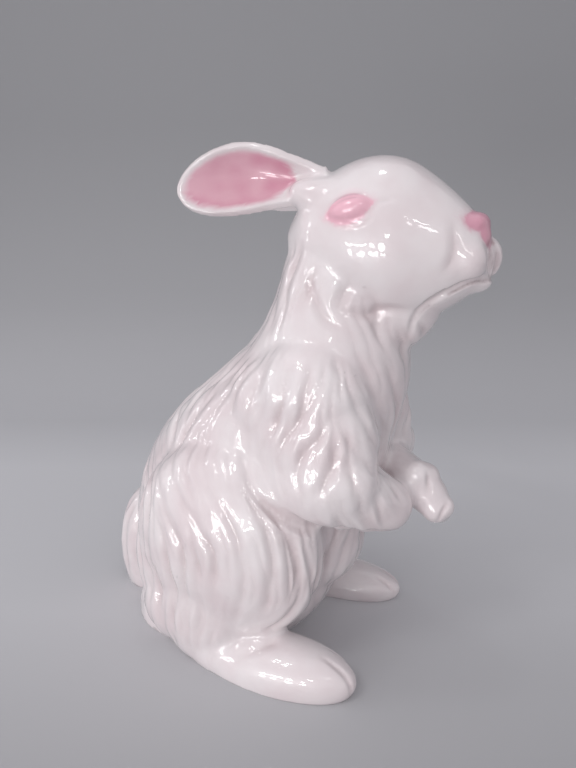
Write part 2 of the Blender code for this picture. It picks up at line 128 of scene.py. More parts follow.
# Ears: cupped leaves that are laid back level with the head, the left one narrower and lower at
# its root. Each has its root and its tip. Its stalk is given outwards from the root.
EARS = {-1: ((-19, -54, 309), (-49, 33, 308)), 1: ((19, -54, 304), (47, 33, 314))}
EAR_STALK = [((-3, -6, -7), 15), ((2, 8, -5), 12), ((4.5, 15, -3), 8.5)]
EAR_HALF_WIDTH = {-1: 21.5, 1: 18.5}
EAR_ROOT_HALF_WIDTH = 10.5
EAR_ARCH = 7.0                # how far the middle of the ear rises above the line from root to tip
EAR_WIDEST = 0.62             # share of the length from the root
EAR_UPPER_CUT = 0.16          # share of its half width that the upper edge loses towards the tip
EAR_CUP = 9.0
EAR_CUP_START = 0.15          # where on its curve the hollow begins at the root
EAR_TIP_POWER = 2.1           # 2 would make the outer end an ellipse
EAR_TIP_WIDTH = 0.14          # share of the half width that is left at the very tip
EAR_THICKNESS = 6.5
EAR_COLUMNS = 28
EAR_ROWS = 16

# The locks are laid out on the CAD solid's own fused surface, and carved in a finer one.
VOXEL = 2.0
FINE_VOXEL = 1.15
SMOOTHING_FACTOR = 0.5
BODY_SMOOTHING = 9
DETAIL_SMOOTHING = 4
GLAZE_INSET = 0.5             # keeps the finer surface inside the CAD solid's size
GLAZE_SMOOTHING = 2
TRIANGLES = 190000
CUT_TOLERANCE = 1e-4

# Locks of fur: they lie along these strokes, from root to tip, on each side of the figure.
FUR_STROKES = {
    "spine": [(0, -20, 300), (0, -8, 250), (0, 20, 205), (0, 60, 170)],
    "lower_back": [(0, 60, 170), (0, 98, 118), (0, 107, 84)],
    "tail_ridge": [(0, 118, 78), (0, 132, 48), (0, 130, 10)],
    "tail_side": [(13, 110, 76), (19, 118, 46), (18, 116, 10)],
    "rump": [(20, 80, 140), (50, 72, 110), (66, 66, 60), (58, 60, 10)],
    "nape": [(34, -45, 282), (30, -35, 250), (41, -33, 226)],
    "neck": [(37, -57, 267), (39, -47, 240), (46, -46, 221)],
    "withers": [(42, -32, 223), (54, -27, 203), (59, -18, 178), (58, -14, 155)],
    "upper_back": [(39, -20, 215), (48, 3, 183), (51, 27, 150)],
    "flank": [(39, -7, 203), (47, 33, 158), (57, 46, 135), (71, 47, 111)],
    "shoulder_back": [(46, -48, 222), (62, -42, 180), (60, -29, 145), (64, -38, 130)],
    "shoulder": [(45, -59, 222), (63, -58, 185), (63, -43, 151), (68, -52, 128)],
    "shoulder_crest": [(58, -65, 199), (61, -61, 187), (64, -52, 172), (65, -46, 158)],
    "shoulder_front": [(56, -72, 183), (61, -70, 172), (65, -63, 163), (67, -56, 150), (65, -62, 122)],
    "upper_arm": [(58, -78, 176), (61, -76, 153), (66, -70, 132), (62, -74, 119)],
    "forearm": [(57, -76, 182), (56, -83, 167), (53, -90, 157), (44, -97, 144), (38, -106, 126)],
    "chest_side": [(48, -78, 201), (45, -92, 170), (25, -101, 142)],
    "chest": [(36, -76, 222), (34, -87, 200), (28, -94, 180), (18, -98, 160), (14, -98, 141)],
    "chest_middle": [(25, -91, 215), (18, -97, 194), (6, -100, 172), (4, -98, 143)],
    "throat": [(22, -99, 230), (12, -101, 217), (3, -101, 200)],
    "haunch_back": [(36, 66, 136), (67, 53, 116), (74, 49, 70), (73, 44, 42), (62, 36, 8)],
    "haunch_far": [
        (36, 60, 143), (64, 46, 127), (78, 32, 109), (83, 19, 91), (81, 17, 59), (80, 18, 30), (74, 16, 6),
    ],
    "haunch": [
        (42, 41, 152), (63, 36, 135), (76, 22, 122), (82, 5, 106), (84, -6, 90), (82, -5, 58), (80, 2, 24),
    ],
    "haunch_middle": [
        (50, 17, 158), (66, 10, 141), (76, -6, 124), (80, -21, 105), (80, -26, 80), (75, -8, 21),
    ],
    "haunch_side": [
        (59, -5, 151), (70, -19, 134), (73, -36, 115), (74, -43, 94), (74, -40, 64), (71, -19, 24),
    ],
    "haunch_edge": [
        (67, -24, 130), (66, -39, 116), (69, -50, 100), (69, -53, 77), (67, -47, 52), (70, -28, 24),
    ],
    "haunch_front": [(68, -33, 124), (64, -54, 88), (66, -50, 55), (73, -26, 23)],
    "belly_side": [(60, -57, 104), (53, -61, 63), (25, -45, 26)],
    "belly": [(14, -76, 100), (20, -68, 69), (18, -60, 40)],
}
LOCK_SPACING = 12.0
LOCK_LENGTH = 120.0
LOCK_SHORTEST = 0.3           # least share of the length that a line runs to each side
LOCK_SPREAD = 0.4             # and how much longer than that it may be
LOCK_HALF_WIDTH = 6.0
LOCK_DEPTH = 3.6
LOCK_TAPER = 0.85             # a low power keeps a valley deep until close to its ends
VALLEY_POWER = 1.6            # a high power makes a narrow floor and round shoulders
LOCK_SEED = 5
GOLDEN_SHARE = 0.618          # spreads the lengths of neighbouring lines
STRAND_SPACING = 6.5
STRAND_LENGTH = 60.0
STRAND_DEPTH = 0.9
STRAND_SEED = 11
LOCK_POINT_STEP = 1.5
STRAND_POINT_STEP = 0.8
LOCK_STEP = 2.5
LOCK_GAP = 0.45               # share of the spacing at which a line stops short of another
LOCK_POINTS = 4               # a shorter line is left out
LOCK_WAVE = 0.22              # radians that a lock swings to each side
LOCK_WAVE_LENGTH = 46.0
LOCK_WAVE_LEAN = 0.7          # share of the length along the figure in a lock's swing
STROKE_REACH = 10.0

# The glaze stays smooth near these places: centre and radius in which no fur is carved.
BARE_SPOTS = [
    ((0, -112, 288), 52), ((20, -80, 296), 36), ((24, -46, 306), 24), ((42, 10, 310), 44),
    ((58, -54, 8), 40), ((70, -18, 2), 16), ((0, -122, 116), 26), ((-16, -106, 108), 14),
    ((44, -57, 226), 12),
]
BARE_EDGE = 14.0              # width over which the fur fades out around them
BARE_SHARE = 0.2              # locks stop where less of the fur than this is left

# Folds: a path on the left side of the figure, its half width and its depth.
FOLDS = {
    "philtrum": ([(-2, -147, 276), (-3, -150, 270), (-3, -150, 260)], 3.0, 2.4),
    "mouth": ([(0, -149, 258), (12, -146, 257), (20, -134, 252), (22, -122, 244), (20, -110, 234),
               (12, -104, 220)], 3.4, 3.2),
    "cheek": ([(38, -48, 258), (40, -56, 243), (40, -62, 234), (37, -72, 229)], 5.5, 2.6),
    "jaw": ([(39, -70, 240), (31, -84, 237), (26, -98, 240), (20, -108, 239)], 5.5, 2.2),
    "whisker_pad": ([(22, -128, 290), (25, -131, 279), (26, -130, 268), (27, -124, 260)], 6.0, 1.6),
    "lower_lid": ([(38, -61, 289), (41, -69, 288), (41, -79, 287), (37, -89, 292)], 2.6, 1.3),
    "arm": ([(59, -14, 158), (64, -20, 142), (68, -28, 128), (64, -44, 115), (54, -64, 107), (44, -84, 105),
             (26, -104, 101)], 6.5, 4.6),
    "thigh": ([(60, -46, 116), (66, -54, 92), (62, -57, 66), (62, -48, 45), (70, -34, 26), (79, -14, 8)],
              6.5, 2.8),
    "belly_side": ([(50, -64, 106), (50, -68, 84), (48, -66, 62), (36, -56, 36)], 6.0, 2.4),
}
PAW_FOLDS = {
    "toe": ([(-5, -134, 119), (-9, -131, 112), (-8, -127, 104)], 2.4, 1.8),
    "paw_back": ([(-7, -121, 138), (-8, -122, 131), (-11, -121, 122)], 3.2, 1.4),
}
TOE_FOLDS = {
    "inner_toe": ([(48, -94, 2), (48, -86, 18), (50, -72, 26)], 3.0, 1.6),
    "outer_toe": ([(64, -94, 2), (64, -86, 18), (63, -72, 26)], 3.0, 1.6),
}
FOLD_STEP = 1.0
# Lines too fine for the solid: the parting of the lips, and the creases at each eye's lids.
LIP_LINES = {
    "parting": ([(-3, -150, 274), (-3, -151, 266), (-2, -150, 259), (8, -148, 257), (16, -140, 254),
                 (22, -128, 248), (22, -118, 241), (18, -108, 232)], 1.8, 1.7),
}
LID_LINES = {
    "upper_lid": ([(40, -59, 292), (41, -66, 300), (41, -75, 305), (39, -84, 304), (36, -90, 299)],
                  2.2, 0.8),
    "lower_lid_edge": ([(40, -59, 292), (42, -68, 289), (42, -78, 290), (39, -86, 294), (36, -91, 299)],
                       2.2, 0.7),
    "inner_corner": ([(37, -88, 299), (34, -94, 300), (31, -98, 300)], 2.6, 1.0),
}

# The glaze fills the valleys in part, and in some patches of the coat more than in others.
GLAZED_DEPTH = 0.78           # share of a lock's depth that is left
PATCH_SIZE = 36.0
PATCH_DEPTH = 0.45            # share of that depth in the smoothest patches
PATCH_EDGE = (-0.3, 0.2)      # noise values between which a patch fades into full relief

# Swells of the glaze: size of a swell and its greatest depth, in the fur and on the smooth skin.
SWELL_SIZE = 13.0
FUR_SWELL = 0.6
SKIN_SWELL = 0.10

# Colours of the glaze, and of the painted shade in its valleys, folds and the parting of the lips, as linear
# values.
WHITE = (0.79, 0.735, 0.745)
GROOVE_PAINTED_SHADE = (0.62, 0.52, 0.53)
MOUTH_PAINTED_SHADE = (0.36, 0.27, 0.28)
EAR_PINK = (0.74, 0.42, 0.50)
EAR_DEEP_PINK = (0.62, 0.24, 0.34)
EYE_PINK = (0.88, 0.52, 0.61)
NOSE_PINK = (0.66, 0.32, 0.41)
NOSTRIL = (0.30, 0.13, 0.15)
# The colour layer holds the glaze's colour with its painted shade, and the stage's painted light and shade.
COLOUR_AND_SHADE_LAYER = "colour_and_painted_shade"

# How much of the painted shade shows in the locks, the strands, the folds and the parting of the lips.
LOCK_SHADE_SHARE = 0.5
STRAND_SHADE_SHARE = 0.25
FOLD_SHADE_SHARE = 0.45
LIP_SHADE_SHARE = 0.8

# The pink of an ear's hollow: white rim around it, soft edge, where it starts at the root, and
# the width of its deeper border.
EAR_RIM = 4.0
EAR_EDGE = 2.2
EAR_PINK_START = 0.20
EAR_PINK_SLOPES = (2.4, 0.9)  # of the pink's edges above and below its pointed inner end
EAR_FACING = (0.1, -0.2)      # the pink fades out where the surface turns away from the hollow
EAR_BORDER = 9.0
EAR_BORDER_RISE = (6.0, -6.0)  # the border shows below the line from root to tip
EAR_ROOT_FADE = (0.62, 0.22)  # shares of the length between which the pink deepens to the root
EAR_DEEPENING = 0.7           # strength of the deeper pink at the border and the root
LEAST_GAP = 0.01              # keeps the distances to the pink's edges above zero
EAR_OUTLINE_POINTS = 60
EAR_MOTTLE = 0.5              # how far brushed patches of the pink are deeper or paler
MOTTLE_SIZE = 9.0

# The almond of each eye: middle, half length, half height and forward pitch in degrees.
EYE_ALMOND = ((38, -73.5, 296), 15.5, 8.6, 17)
NOSTRIL_SPOTS = [((-6.5, -144, 277.5), (3.4, 3.2, 2.2)), ((2.5, -146, 277.5), (3.4, 3.2, 2.2))]

# Edges of the painted spots: where a colour starts and where it is full, as shares of the radii.
HALO_SHARE = 0.25             # strength of the faint tint around the eyes and the nose
EYE_HALO = (1.5, 1.0)
EYE_EDGE = (1.06, 0.94)
NOSE_HALO = (1.5, 1.1)
NOSE_EDGE = (1.16, 1.06)
NOSTRIL_EDGE = (1.2, 0.4)
NOSTRIL_SHARE = 0.7
FAR_OUTSIDE = 2.0             # added where a point is not on the eye's side of the head

# The glaze's material. Sizes of the noise are per metre, and the ripples' height is in metres.
CLOUD_SCALE = 28.0
CLOUD_DETAIL = 3.0
CLOUD_TONES = [(0.35, (0.93, 0.88, 0.89, 1)), (0.65, (1, 1, 1, 1))]
RIPPLE_SCALE = 140.0
RIPPLE_DETAIL = 1.0
RIPPLE_STRENGTH = 0.25
RIPPLE_HEIGHT = 0.0006
GLAZE_ROUGHNESS = 0.32
COAT_ROUGHNESS = 0.03

# Lights: name, place in metres, panes across and up, size of a pane, gap, watts and colour.
LIGHTS = [
    ("window", (-1.05, 0.12, 0.12), (4, 2), (0.12, 0.10), 0.05, 3.7, (1.0, 0.985, 0.98)),
    ("high_window", (-0.70, 0.25, 0.95), (2, 2), (0.09, 0.08), 0.05, 1.1, (1.0, 0.985, 0.98)),
    ("lamp", (-0.75, -0.62, 0.75), (2, 2), (0.08, 0.06), 0.04, 0.35, (1.0, 0.98, 0.97)),
    ("near_lamp", (-1.00, -0.25, 0.42), (1, 1), (0.10, 0.08), 0.0, 0.30, (1.0, 0.98, 0.97)),
    ("side", (-0.46, 0.95, 0.45), (1, 3), (0.09, 0.12), 0.05, 0.6, (0.97, 0.97, 1.0)),
    ("overhead", (0.0, 0.0, 1.35), (1, 1), (0.09, 0.09), 0.0, 0.35, (1.0, 0.985, 0.98)),
    ("ceiling", (-0.10, 0.20, 1.60), (1, 1), (2.60, 2.20), 0.0, 2.7, (0.97, 0.97, 1.0)),
]
LIT_HEIGHT = 0.17             # the lights point at the middle of the figure
PANE_SHARES = (1.0, 0.45, 0.8, 0.35, 0.65)  # heights of the panes in turn, as shares of the size
PANE_WIDTHS = (1.3, 0.6)      # a pane's width as a share of the size, less this much of its height
ROOM_COLOUR = (0.82, 0.81, 0.84, 1)
ROOM_STRENGTH = 0.74

# The stage: a floor that starts in front of the figure, a bend and a wall, in metres.
STAGE_FRONT = -2.0
STAGE_BEND = 0.5              # distance at which the floor bends up, and the bend's radius
STAGE_BEND_ROWS = 16
STAGE_NEAR = -0.3             # the floor has rows from here to the bend
STAGE_NEAR_ROWS = 17
STAGE_TOP = 2.6
STAGE_HALF_WIDTH = 2.6
STAGE_ROUGHNESS = 0.75
STAGE_COLOUR = (0.48, 0.48, 0.498)
# Painted light and shade on the stage: its brightness against distance and height together, along the floor
# and up the wall.
STAGE_PAINTED_LIGHT = [
    (-0.15, 0.90), (0.0, 1.23), (0.3, 1.36), (0.5, 1.2), (0.8, 1.0), (1.0, 0.85), (1.3, 0.76), (1.8, 0.68),
]

# The camera stands to the figure's front right, in metres from the drawn figure's own origin.
CAMERA_PLACE = (-0.3766, -0.1946, 0.285)
CAMERA_WAY = (0.8794, 0.4101, -0.2419)
FOCAL_PIXELS = 620.0
IMAGE_HEIGHT = 768.0
SENSOR_MM = 36.0


def ellipsoid(centre, radii, pitch, side=1):
    """A UV sphere stretched to the radii. A positive pitch lifts its front end."""
    bpy.ops.mesh.primitive_uv_sphere_add(segments=BALL_SEGMENTS, ring_count=BALL_RINGS, radius=1.0)
    ball = bpy.context.object
    turn = Matrix.Rotation(-math.radians(pitch), 4, "X")
    size = Matrix.Diagonal((*radii, 1.0))
    ball.data.transform(Matrix.Translation((centre[0] * side, *centre[1:])) @ turn @ size)
    return ball


def limb(points, side=1):
    """A tapering row of balls through points that each have a radius."""
    balls = []
    for (start, start_radius), (end, end_radius) in zip(points, points[1:]):
        for step in range(BALLS_PER_LINK + 1):
            share = step / BALLS_PER_LINK
            centre = Vector(start).lerp(Vector(end), share)
            radius = start_radius + (end_radius - start_radius) * share
            balls.append(ellipsoid(tuple(centre), (radius,) * 3, 0, side))
    return balls


def loft(name, levels, upright):
    """A skin through a row of ellipses, stacked up the figure or set one before the other."""
    levels = np.array(levels, float)
    levels = levels[np.argsort(levels[:, 0])]
    places = np.linspace(levels[0, 0], levels[-1, 0], LOFT_RINGS)
    high, low, half = (smooth_through(levels[:, 0], levels[:, n], places) for n in (1, 2, 3))
    mesh = bmesh.new()
    rings = []
    for place, top, bottom, half_width in zip(places, high, low, half):
        middle, half_depth = (top + bottom) / 2, (top - bottom) / 2
        ring = []
        for number in range(LOFT_SIDES):
            angle = 2 * math.pi * number / LOFT_SIDES
            x, depth = half_width * math.cos(angle), middle + half_depth * math.sin(angle)
            ring.append(mesh.verts.new((x, depth, place) if upright else (x, place, depth)))
        rings.append(ring)
    for lower, upper in zip(rings, rings[1:]):
        for number in range(LOFT_SIDES):
            after = (number + 1) % LOFT_SIDES
            mesh.faces.new((lower[number], lower[after], upper[after], upper[number]))
    mesh.faces.new(list(reversed(rings[0])))
    mesh.faces.new(rings[-1])
    bmesh.ops.recalc_face_normals(mesh, faces=mesh.faces[:])
    return mesh_object(name, mesh)


def smooth_through(places, values, wanted):
    """A cubic curve through the values, with each slope taken from the two neighbours."""
    slopes = np.gradient(values, places)
    cell = np.clip(np.searchsorted(places, wanted) - 1, 0, len(places) - 2)
    width = places[cell + 1] - places[cell]
    t = (wanted - places[cell]) / width
    start = (1 + 2 * t) * (1 - t) ** 2 * values[cell] + t * (1 - t) ** 2 * width * slopes[cell]
    end = t * t * (3 - 2 * t) * values[cell + 1] + t * t * (t - 1) * width * slopes[cell + 1]
    return start + end


def ear(side):
    """A cupped leaf, narrow at its root and round at its tip, given a wall with Solidify."""
    root, along, across, inward = ear_axes(side)
    bpy.ops.mesh.primitive_grid_add(x_subdivisions=EAR_COLUMNS, y_subdivisions=EAR_ROWS, size=2.0)
    leaf = bpy.context.object
    for vertex in leaf.data.vertices:
        share, edge = (vertex.co.x + 1) / 2, vertex.co.y
        half_width = ear_half_width(share, side) * (1 - EAR_UPPER_CUT * share * max(edge, 0.0))
        rise = EAR_ARCH * math.sin(math.pi * share) + half_width * edge
        vertex.co = root + along * share + across * rise + inward * ear_cup(share, edge)
    wall = leaf.modifiers.new("wall", "SOLIDIFY")
    wall.thickness = EAR_THICKNESS
    wall.offset = 0.0
    return apply_modifiers(leaf)


def ear_stalk(side):
    """The tapering root that joins the ear to the head."""
    root = EARS[side][0]
    return limb([((root[0] + x * side, root[1] + y, root[2] + z), radius) for (x, y, z), radius in EAR_STALK])


def ear_axes(side):
    """The ear's root, its way to the tip, its upward way, and the way from its hollow to its back."""
    root, tip = (Vector(end) for end in EARS[side])
    along = tip - root
    across = Vector((0, 0, 1))
    return root, along, across, along.cross(across).normalized() * -side


def ear_cup(share, edge):
    """How far the leaf is hollowed, deepest along its middle and shallow at its root and tip."""
    return EAR_CUP * (1 - edge * edge) * math.sin(math.pi * (EAR_CUP_START + (1 - EAR_CUP_START) * share))


def ear_half_width(share, side):
    """Half the ear's width at a share of its length from the root."""
    if share < EAR_WIDEST:
        rise = share / EAR_WIDEST
        gain = EAR_HALF_WIDTH[side] - EAR_ROOT_HALF_WIDTH
        return EAR_ROOT_HALF_WIDTH + gain * rise * rise * (3 - 2 * rise)
    fall = (share - EAR_WIDEST) / (1 - EAR_WIDEST)
    return EAR_HALF_WIDTH[side] * max(math.sqrt(1 - fall ** EAR_TIP_POWER), EAR_TIP_WIDTH)


def mesh_object(name, mesh):
    data = bpy.data.meshes.new(name)
    mesh.to_mesh(data)
    mesh.free()
    item = bpy.data.objects.new(name, data)
    bpy.context.scene.collection.objects.link(item)
    return item


def apply_modifiers(item):
    """Replaces the object's mesh with the mesh that its modifiers make."""
    bpy.context.view_layer.update()
    shape = item.evaluated_get(bpy.context.evaluated_depsgraph_get())
    data = bpy.data.meshes.new_from_object(shape)
    item.modifiers.clear()
    item.data = data
    return item


def fuse(items, voxel, smoothing):
    """Joins overlapping solids into one skin and rounds the creases between them."""
    mesh = bmesh.new()
    for item in items:
        mesh.from_mesh(item.data)
        bpy.data.objects.remove(item, do_unlink=True)
    body = mesh_object("body", mesh)
    skin = body.modifiers.new("skin", "REMESH")
    skin.mode = "VOXEL"
    skin.voxel_size = voxel
    return soften(apply_modifiers(body), smoothing * (VOXEL / voxel) ** 2)


def soften(item, iterations):
    """Draws each point of the surface towards its neighbours, some way each time."""
    rounding = item.modifiers.new("rounding", "SMOOTH")
    rounding.factor = SMOOTHING_FACTOR
    rounding.iterations = round(iterations)
    return apply_modifiers(item)


def whole_figure(voxel):
    """The figure's fused surface before any carving."""
    masses = [loft("trunk", TRUNK_LEVELS, True), loft("head", HEAD_LEVELS, False)]
    masses += [ellipsoid(*mass) for mass in MIDDLE_MASSES.values()]
    for side in (-1, 1):
        masses += [ellipsoid(*mass, side) for mass in SIDE_MASSES.values()]
        masses += ear_stalk(side)
    masses += limb(RIGHT_ARM) + limb(LEFT_ARM)
    masses += [ellipsoid(centre, (radius,) * 3, 0) for centre, radius in LEFT_PAW]
    body = fuse(masses, voxel, BODY_SMOOTHING)
    details = [body] + [ellipsoid(*mass) for mass in NOSE]
    for side in (-1, 1):
        details += [ellipsoid(*EYE, side), ear(side)]
    return fuse(details, voxel, DETAIL_SMOOTHING)


def curve(points, step):
    """Points about a step apart along a smooth curve through the given points."""
    points = np.array(points, float)
    lengths = np.concatenate(([0.0], np.cumsum(np.linalg.norm(np.diff(points, axis=0), axis=1))))
    wanted = np.linspace(0, lengths[-1], max(int(lengths[-1] / step), 1) + 1)
    return np.stack([smooth_through(lengths, points[:, n], wanted) for n in range(3)], axis=1)


def stroke_lines(surface, strokes):
    """The strokes themselves, laid on both sides of the figure."""
    lines = []
    for stroke in strokes.values():
        for side in (-1, 1):
            points = curve([(x * side, y, z) for x, y, z in stroke], LOCK_STEP)
            line = [surface.find_nearest(Vector(point))[0] for point in points]
            lines.append([place for place in line if fur_share(place) > BARE_SHARE])
    return lines


def polyline(points, step):
    """Points about a step apart along the line through the given points."""
    samples = []
    for start, end in zip(points, points[1:]):
        start, end = np.array(start, float), np.array(end, float)
        count = max(int(np.linalg.norm(end - start) / step), 1)
        samples += [start + (end - start) * n / count for n in range(count)]
    samples.append(np.array(points[-1], float))
    return np.array(samples)


class FurFlow:
    """The way that the fur lies at each point of the surface."""

    def __init__(self, strokes):
        self.places, self.ways = [], []
        for stroke in strokes.values():
            points = curve(stroke, STROKE_REACH / 3)
            ways = np.gradient(points, axis=0)
            self.places += list(points)
            self.ways += list(ways / np.linalg.norm(ways, axis=1)[:, None])
        self.places, self.ways = np.array(self.places), np.array(self.ways)

    def way(self, point, normal):
        """The fur's direction at a point, from the nearest strokes of that side."""
        side = -1.0 if point[0] < 0 else 1.0
        mirrored = np.array((abs(point[0]), point[1], point[2]))
        distance = np.linalg.norm(self.places - mirrored, axis=1)
        weight = np.exp(-((distance - distance.min()) / STROKE_REACH))
        lie = (self.ways * weight[:, None]).sum(axis=0)
        lie[0] *= side
        lie = Vector(lie)
        lie -= normal * lie.dot(normal)
        return lie.normalized()


def fur_share(point):
    """1 where the fur is carved in full, falling to 0 on the smooth places and at the base."""
    share = min(max(point[2] / BARE_EDGE, 0.0), 1.0)
    for centre, radius in BARE_SPOTS:
        across = abs(point[0]) if centre[0] > 0 else point[0]
        gap = math.dist((across, point[1], point[2]), centre) - radius
        share = min(share, min(max(gap / BARE_EDGE, 0.0), 1.0))
    return share


def surface_tree(mesh):
    return BVHTree.FromPolygons([v.co for v in mesh.vertices], [p.vertices for p in mesh.polygons])


def trace(surface, flow, start, normal, length, sense):
    """Follows the fur from a point, with a slow swing from side to side."""
    path, place, lie, gone = [], Vector(start), normal, 0.0
    while gone < length:
        way = flow.way(place, lie) * sense
        swing = LOCK_WAVE * math.sin(2 * math.pi * (place.z + LOCK_WAVE_LEAN * place.y) / LOCK_WAVE_LENGTH)
        way.rotate(Matrix.Rotation(swing * sense, 3, lie))
        place, lie, _, _ = surface.find_nearest(place + way * LOCK_STEP)
        gone += LOCK_STEP
        path.append((place.copy(), lie.copy()))
    return path


def locks(mesh, strokes, spacing, length, seed):
    """Lines of the valleys between locks: the strokes, and lines evenly spaced between them."""
    surface, flow = surface_tree(mesh), FurFlow(FUR_STROKES)
    order = np.random.default_rng(seed).permutation(len(mesh.vertices))
    cells, lines = {}, []

    def keep(line):
        for place in line:
            cell = tuple(int(math.floor(value / spacing)) for value in place)
            cells.setdefault(cell, []).append(place)
        if len(line) > LOCK_POINTS:
            lines.append(line)

    def near(point, reach):
        cell = [int(math.floor(value / spacing)) for value in point]
        for x in (-1, 0, 1):
            for y in (-1, 0, 1):
                for z in (-1, 0, 1):
                    for other in cells.get((cell[0] + x, cell[1] + y, cell[2] + z), ()):
                        if (other - point).length < reach:
                            return True
        return False

    for line in stroke_lines(surface, strokes):
        keep(line)
    for number in order:
        vertex = mesh.vertices[int(number)]
        start = vertex.co.copy()
        if fur_share(start) < BARE_SHARE or near(start, spacing):
            continue
        line = [start]
        for sense in (-1, 1):
            half = length * (LOCK_SHORTEST + LOCK_SPREAD * ((int(number) * GOLDEN_SHARE) % 1.0))
            for place, _ in trace(surface, flow, start, vertex.normal, half, sense):
                if fur_share(place) < BARE_SHARE or near(place, spacing * LOCK_GAP):
                    break
                if sense < 0:
                    line.insert(0, place)
                else:
                    line.append(place)
        keep(line)
    return lines


def valley_points(lines, step):
    """Points along each line, with a strength that fades to nothing at both ends."""
    places, strengths = [], []
    for line in lines:
        points = polyline([tuple(place) for place in line], step)
        for n, point in enumerate(points):
            places.append(point)
            strengths.append(math.sin(math.pi * (n + 0.5) / len(points)) ** LOCK_TAPER)
    return places, strengths


def vertex_array(mesh, kind):
    values = np.empty(len(mesh.vertices) * 3, dtype=np.float32)
    mesh.vertices.foreach_get(kind, values)
    return values.reshape(-1, 3).astype(float)


def valley_depths(points, places, strengths, half_width):
    """How deep each point lies in the nearest valley: 1 on its line, 0 beyond its half width."""
    tree = KDTree(len(places))
    for number, place in enumerate(places):
        tree.insert(place, number)
    tree.balance()
    depths = np.zeros(len(points))
    for n, point in enumerate(points):
        found = tree.find_range(point, half_width)
        if found:
            depths[n] = max(strengths[number] * (1 - gap / half_width) ** VALLEY_POWER
                            for _, number, gap in found)
    return depths


def sink(mesh, depths):
    """Moves each point of the surface inwards by its own depth."""
    places = vertex_array(mesh, "co") - vertex_array(mesh, "normal") * depths[:, None]
    mesh.vertices.foreach_set("co", places.astype(np.float32).ravel())
    mesh.update()


def carve_folds(mesh, folds, side):
    """Sinks the folds, and gives the share of each fold's depth at every point."""
    deepest = np.zeros(len(mesh.vertices))
    for path, half_width, depth in folds.values():
        surface = surface_tree(mesh)
        path = curve([(x * side, y, z) for x, y, z in path], FOLD_STEP)
        places, strengths = valley_points([path], FOLD_STEP)
        places = [surface.find_nearest(place)[0] for place in places]
        depths = valley_depths(vertex_array(mesh, "co"), places, strengths, half_width)
        sink(mesh, depths * depth)
        deepest = np.maximum(deepest, depths)
    return deepest


def swells(points, share):
    """Slow rises and falls of the surface, stronger in the fur than on the smooth skin."""
    rises = np.array([noise.noise(Vector(point) / SWELL_SIZE) for point in points])
    return rises * (SKIN_SWELL + (FUR_SWELL - SKIN_SWELL) * share)


def smooth_step(low, high, values):
    """0 up to low and 1 from high on, with a smooth rise between. Low may be the larger value."""
    t = np.clip((values - low) / (high - low), 0.0, 1.0)
    return t * t * (3 - 2 * t)


def ear_outline(side):
    """Points around the ear's rim: along it and up from the line between root and tip."""
    reach = ear_axes(side)[1].length
    points = []
    for edge in (-1.0, 1.0):
        for share in np.linspace(0, 1, EAR_OUTLINE_POINTS):
            half_width = ear_half_width(share, side) * (1 - EAR_UPPER_CUT * share * max(edge, 0.0))
            points.append((share * reach, EAR_ARCH * math.sin(math.pi * share) + half_width * edge, 0.0))
    return points


def ear_share(points, normals, side):
    """1 in the hollow of an ear, 0 on its rim and back, and how deep the pink is there."""
    root, along, across, inward = (np.array(part) for part in ear_axes(side))
    reach = np.linalg.norm(along)
    offset = points - root
    share = offset @ along / reach ** 2
    rise = offset @ across - share * along[2]
    half_width = np.array([ear_half_width(min(max(value, 0.0), 1.0), side) for value in share])
    middle = EAR_ARCH * np.sin(np.pi * np.clip(share, 0, 1))
    near = (np.abs(offset @ inward) < EAR_CUP + EAR_THICKNESS) & (share > 0) & (share < 1)
    near &= np.abs(rise - middle) < half_width
    outline = ear_outline(side)
    tree = KDTree(len(outline))
    for number, place in enumerate(outline):
        tree.insert(place, number)
    tree.balance()
    gap = np.zeros(len(points))
    for n in np.flatnonzero(near):
        gap[n] = tree.find((share[n] * reach, rise[n], 0.0))[2]
    outward = (share - EAR_PINK_START) * reach
    above, below = ((slope * outward - away) / math.hypot(slope, 1)
                    for slope, away in zip(EAR_PINK_SLOPES, (rise - middle, middle - rise)))
    start = np.maximum(np.minimum(above, below), LEAST_GAP)
    rim = np.maximum(gap - EAR_RIM, LEAST_GAP)
    inside = (rim ** -2 + start ** -2) ** -0.5
    pink = smooth_step(0.0, EAR_EDGE, inside) * smooth_step(*EAR_FACING, normals @ inward) * near
    border = smooth_step(EAR_BORDER, 0.0, rim) * smooth_step(*EAR_BORDER_RISE, rise)
    return pink, np.maximum(border, smooth_step(*EAR_ROOT_FADE, share))


def within(points, centre, radii, pitch, side=1):
    """Distance from the centre of an ellipsoid, as a share of its radii."""
    turn = np.array(Matrix.Rotation(-math.radians(pitch), 3, "X"))
    offset = points - np.array((centre[0] * side, *centre[1:]))
    return np.linalg.norm(offset @ turn / np.array(radii, float), axis=1)


def almond(points, side):
    """Below 1 inside the almond of an eye, which is pointed at both corners."""
    centre, half_length, half_height, pitch = EYE_ALMOND
    offset = points - np.array((centre[0] * side, *centre[1:]))
    cosine, sine = math.cos(math.radians(pitch)), math.sin(math.radians(pitch))
    forward = -offset[:, 1] * cosine + offset[:, 2] * sine
    upward = offset[:, 1] * sine + offset[:, 2] * cosine
    beside = np.abs(offset[:, 0]) > half_height
    return (forward / half_length) ** 2 + np.abs(upward) / half_height + beside * FAR_OUTSIDE


